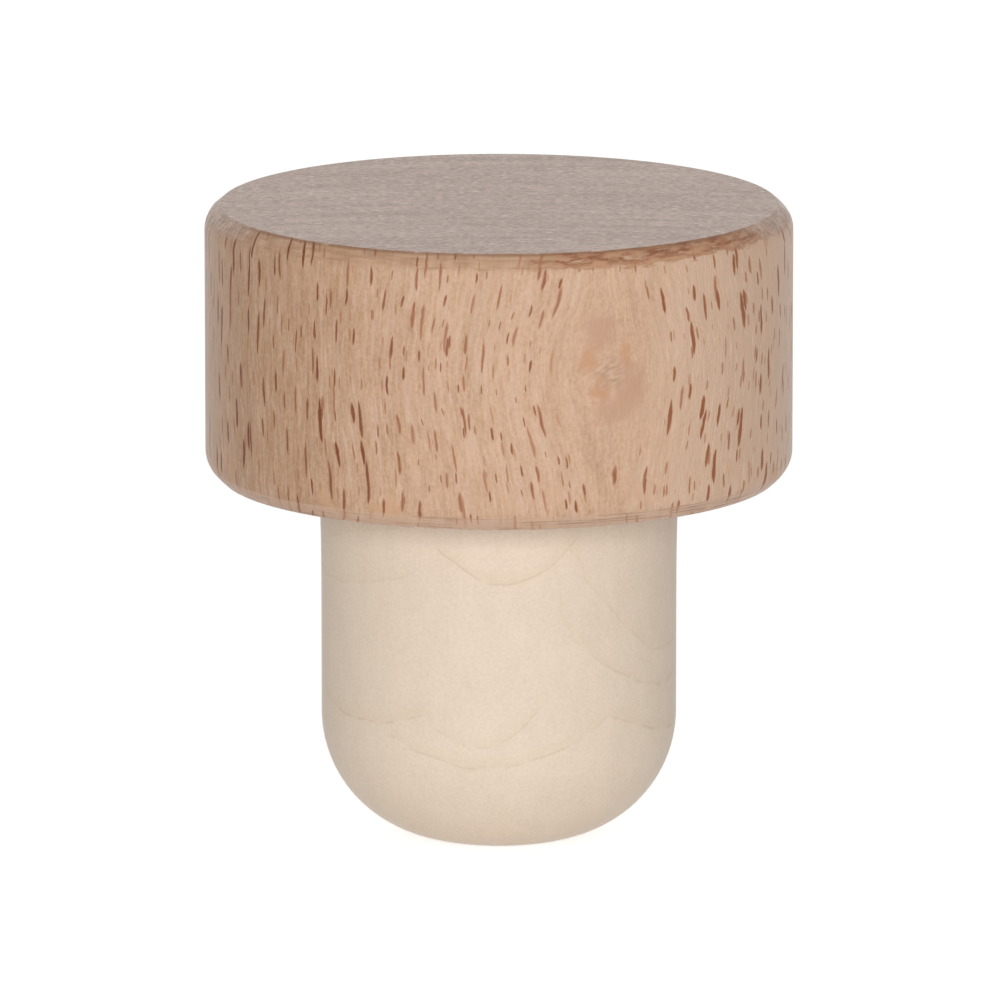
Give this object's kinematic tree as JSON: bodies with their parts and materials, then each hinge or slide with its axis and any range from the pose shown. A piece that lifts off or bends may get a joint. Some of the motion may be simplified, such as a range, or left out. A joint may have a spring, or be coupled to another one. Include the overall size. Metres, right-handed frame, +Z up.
{
  "type": "wooden bottle stopper",
  "caption": "T-shaped bottle stopper: a chamfered beech disc to grip, glued on a round-nosed cream synthetic shank that presses into a bottle's mouth.",
  "frame": {"origin": "on the stopper's axis, in the plane of the cap's underside, which is where the cap meets the lip of a bottle and where it is glued to the shank's shoulder", "axes": "+Z up the axis from the nose towards the cap's top; the part is round about Z, and -Y faces the picture's camera"},
  "size_m": [0.032, 0.032, 0.035],
  "materials": {
    "beech": "matte",
    "cream_synthetic": "matte"
  },
  "bodies": {
    "root": {"wooden_cap": "beech", "shank": "cream_synthetic"}
  },
  "joints": []
}
